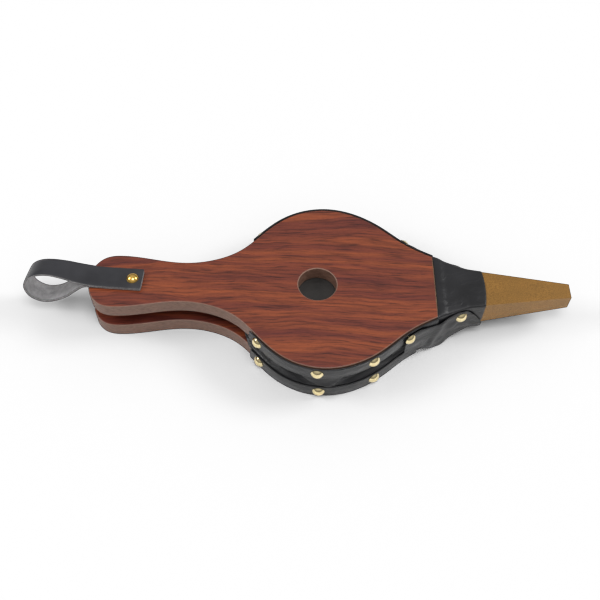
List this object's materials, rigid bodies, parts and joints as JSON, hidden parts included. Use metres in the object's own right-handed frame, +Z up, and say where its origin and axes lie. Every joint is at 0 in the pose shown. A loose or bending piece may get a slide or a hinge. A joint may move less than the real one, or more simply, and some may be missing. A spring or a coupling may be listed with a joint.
{
  "type": "hand bellows",
  "caption": "Hand bellows with two pear-shaped boards on a leather hinge, a leather gusset, a flap valve, a tapered square nozzle and a wrist strap.",
  "frame": {"origin": "on the plain board's flat outer face, under the centre of the air hole", "axes": "+X along the boards to the nozzle, +Z up from the plain board to the valve board, boards closed"},
  "size_m": [0.4948, 0.185, 0.0605],
  "materials": {
    "board_wood": "gloss reddish brown grained laminate faces, sanded brown edges",
    "block_wood": "bare pale softwood",
    "nozzle_paint": "bronze gold paint with a fine speckle",
    "black_leather": "soft black leather with a fine grain",
    "strap_leather": "charcoal grain outside, grey suede inside",
    "flap_leather": "plain dark leather",
    "tack_brass": "polished pale gold",
    "rivet_brass": "polished gold",
    "nail_steel": "plain wire nail steel"
  },
  "bodies": {
    "plain_side": {"plain_board": "board_wood", "plain_board_welt_left": "black_leather", "plain_board_welt_right": "black_leather", "plain_board_tacks_left": "tack_brass", "plain_board_tacks_right": "tack_brass", "hinge_nails_plain_board": "nail_steel", "hinge_leather": "black_leather", "gusset_leather": "black_leather"},
    "valve_side": {"valve_board": "board_wood", "valve_board_welt_left": "black_leather", "valve_board_welt_right": "black_leather", "valve_board_tacks_left": "tack_brass", "valve_board_tacks_right": "tack_brass", "nozzle_block": "block_wood", "block_screws": "nail_steel", "nozzle": "nozzle_paint", "nozzle_nails": "nail_steel", "top_cover": "black_leather", "outer_wrap": "black_leather", "block_side_tacks": "tack_brass", "block_face_tacks": "tack_brass", "hinge_nails_block": "nail_steel", "strap_rivet": "rivet_brass", "flap_anchor": "flap_leather", "flap_tacks": "nail_steel"},
    "flap": {"valve_flap": "flap_leather"},
    "strap": {"wrist_strap": "strap_leather"}
  },
  "joints": [
    {"name": "bellows_hinge", "type": "hinge", "parent": "plain_side", "child": "valve_side", "pos_m": [0.1068, 0, 0.0163], "axis": [0, 1, 0], "range_deg": [0, 20], "deforming": ["gusset_leather", "hinge_leather"]},
    {"name": "flap_hinge", "type": "hinge", "parent": "valve_side", "child": "flap", "pos_m": [-0.028, 0, 0.0298], "axis": [0, 1, 0], "range_deg": [0, 12], "stiffness_Nm_per_rad": 0.02, "springref_deg": -8.59},
    {"name": "strap_swivel", "type": "hinge", "parent": "valve_side", "child": "strap", "pos_m": [-0.166, 0, 0.045], "axis": [0, 0, 1], "range_deg": [-30, 30]}
  ]
}
